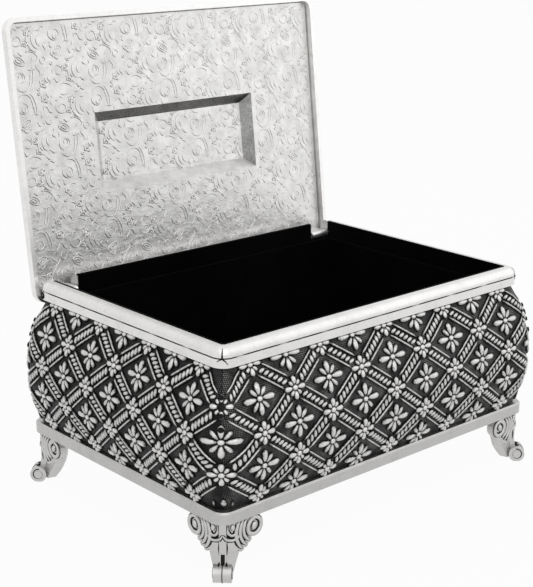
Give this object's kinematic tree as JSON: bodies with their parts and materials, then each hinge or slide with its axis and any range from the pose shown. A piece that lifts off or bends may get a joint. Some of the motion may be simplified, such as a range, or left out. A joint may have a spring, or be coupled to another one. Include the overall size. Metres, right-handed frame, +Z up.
{
  "type": "wedding coin box",
  "caption": "Footed metal casket with bellied lattice-embossed walls, a plain rim, a black velvet lining and a hinged lid that leans back open.",
  "frame": {"origin": "middle of the open box's footprint on the floor that its feet stand on", "axes": "+X along the long side, +Y towards the hinge, +Z up"},
  "size_m": [0.1408, 0.1112, 0.1507],
  "materials": {
    "polished_silver": "bright silver plate with fine scratches",
    "satin_silver": "satin silver plate",
    "pressed_silver": "matt silver plate, pressed with scrolls and small flowers",
    "antique_relief": "antique silver: bright relief on a blackened ground",
    "antique_cast": "antique silver casting with darkened hollows",
    "black_velvet": "short-pile black velvet",
    "bottom_sheet": "matt black",
    "steel": "plain"
  },
  "bodies": {
    "box": {"base_band": "satin_silver", "bottom_plate": "bottom_sheet", "foot_front_left": "antique_cast", "foot_front_right": "antique_cast", "foot_back_left": "antique_cast", "foot_back_right": "antique_cast", "foot_screws": "steel", "wall_front": "antique_relief", "wall_right": "antique_relief", "wall_back": "antique_relief", "wall_left": "antique_relief", "lining_front": "black_velvet", "lining_right": "black_velvet", "lining_back": "black_velvet", "lining_left": "black_velvet", "lining_floor": "black_velvet", "rim_front": "polished_silver", "rim_left": "polished_silver", "rim_right": "polished_silver", "rim_back": "polished_silver", "hinge_pin_left": "steel", "hinge_pin_right": "steel"},
    "lid": {"lid_frame": "polished_silver", "lid_panel": "pressed_silver"}
  },
  "joints": [
    {"name": "lid_hinge", "type": "hinge", "parent": "box", "child": "lid", "pos_m": [0, 0.03837, 0.06495], "axis": [1, 0, 0], "range_deg": [0, 96.5]}
  ]
}
